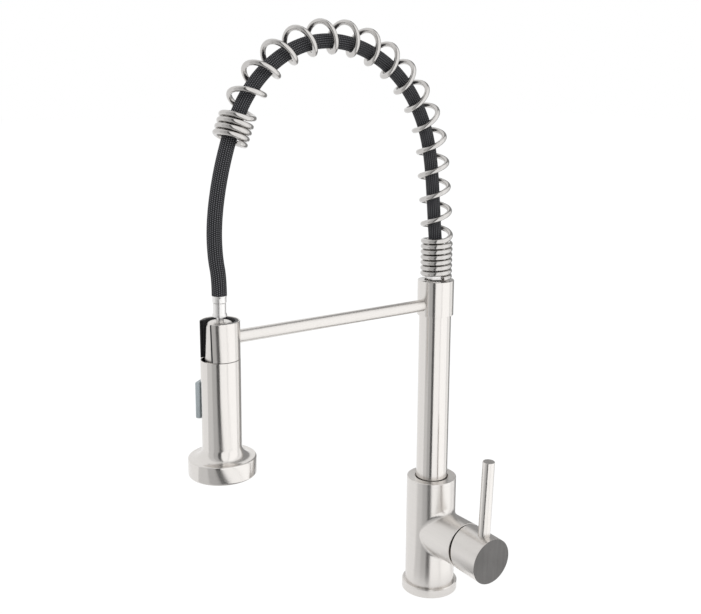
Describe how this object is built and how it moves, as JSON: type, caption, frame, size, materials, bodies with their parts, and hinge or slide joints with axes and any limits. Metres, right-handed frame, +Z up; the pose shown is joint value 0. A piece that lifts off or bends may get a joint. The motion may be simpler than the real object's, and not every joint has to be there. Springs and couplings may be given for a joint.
{
  "type": "pull-down kitchen faucet",
  "caption": "Single-hole kitchen faucet with a spring neck, a pull-down spray head in a swivelling dock, and a side lever.",
  "frame": {"origin": "centre of the base on the deck's top face, on the column's axis", "axes": "+Z up along the column, -Y along the arm to the spray head, +X along the handle's side housing"},
  "size_m": [0.1144, 0.276, 0.5781],
  "materials": {
    "satin_nickel": "brushed nickel plating on brass",
    "polished_steel": "bright nickel plating",
    "raw_brass": "unplated, turned",
    "plain_steel": "plain stainless",
    "black_rubber": "matt",
    "white_plastic": "moulded",
    "ceramic": "ground ceramic",
    "black_plastic": "moulded",
    "grey_plastic": "moulded",
    "black_braid": "braided nylon"
  },
  "bodies": {
    "valve": {"base_flange": "satin_nickel", "base_gasket": "black_rubber", "valve_body": "satin_nickel", "mounting_shank": "raw_brass", "rubber_washer": "black_rubber", "clamp_plate": "plain_steel", "mounting_nut": "raw_brass", "clamp_screws": "plain_steel", "cartridge_body": "white_plastic", "cartridge_seals": "black_rubber", "fixed_disc": "ceramic", "bonnet_nut": "raw_brass", "dome_cap": "satin_nickel", "column_screw": "plain_steel", "slip_washer": "white_plastic"},
    "riser": {"column_tube": "satin_nickel", "column_foot": "raw_brass", "column_orings": "black_rubber", "collar": "satin_nickel", "collar_grub_screw": "plain_steel", "arm_rod": "satin_nickel", "dock_shell": "satin_nickel", "dock_liner": "black_plastic", "hose_adapter": "raw_brass", "adapter_oring": "black_rubber", "union_nut": "raw_brass", "spring": "polished_steel", "spray_hose": "black_braid"},
    "hose_end": {"hose_ferrule": "polished_steel", "hose_nut": "polished_steel", "hose_tail": "raw_brass"},
    "spray_head": {"docking_cone": "satin_nickel", "seat_ring": "black_rubber", "check_valve": "white_plastic", "head_oring": "black_rubber", "spray_shell": "satin_nickel", "face_plate": "black_plastic", "nozzle_mat": "black_rubber", "aerator": "white_plastic", "waterway": "white_plastic", "rocker_pin": "plain_steel"},
    "rocker": {"rocker_button": "grey_plastic"},
    "spool": {"diverter_spool": "white_plastic"},
    "turret": {"cartridge_turret": "white_plastic", "turret_pin": "plain_steel"},
    "disc": {"moving_disc": "ceramic"},
    "handle": {"cartridge_stem": "plain_steel", "handle_hub": "satin_nickel", "lever_rod": "satin_nickel", "hub_set_screw": "plain_steel"}
  },
  "joints": [
    {"name": "spout_swivel", "type": "hinge", "parent": "valve", "child": "riser", "pos_m": [0, 0, 0.1], "axis": [0, 0, 1], "continuous": true},
    {"name": "spray_pull", "type": "slide", "parent": "riser", "child": "hose_end", "axis": [0, 0, -1], "range_m": [0, 0.06], "deforming": ["spring", "spray_hose"]},
    {"name": "spray_turn", "type": "hinge", "parent": "hose_end", "child": "spray_head", "pos_m": [0, -0.2189, 0.29], "axis": [0, 0, 1], "continuous": true},
    {"name": "rocker_tilt", "type": "hinge", "parent": "spray_head", "child": "rocker", "pos_m": [-0.01011, -0.22675, 0.2305], "axis": [-0.6129, 0.7902, 0], "range_deg": [0, 4]},
    {"name": "spool_slide", "type": "slide", "parent": "spray_head", "child": "spool", "axis": [0.7902, 0.6129, 0], "range_m": [0, 0.0007]},
    {"name": "temperature", "type": "hinge", "parent": "valve", "child": "turret", "pos_m": [0.045, 0, 0.0604], "axis": [1, 0, 0], "range_deg": [-45, 45]},
    {"name": "handle_lift", "type": "hinge", "parent": "turret", "child": "handle", "pos_m": [0.045, 0, 0.0604], "axis": [0, 1, 0], "range_deg": [0, 12]},
    {"name": "disc_slide", "type": "slide", "parent": "turret", "child": "disc", "axis": [0, 0, 1], "range_m": [0, 0.0024]}
  ],
  "couplings": [
    {"joint": "spool_slide", "follows": "rocker_tilt", "m_per_rad": 0.009},
    {"joint": "disc_slide", "follows": "handle_lift", "m_per_rad": 0.01087}
  ]
}
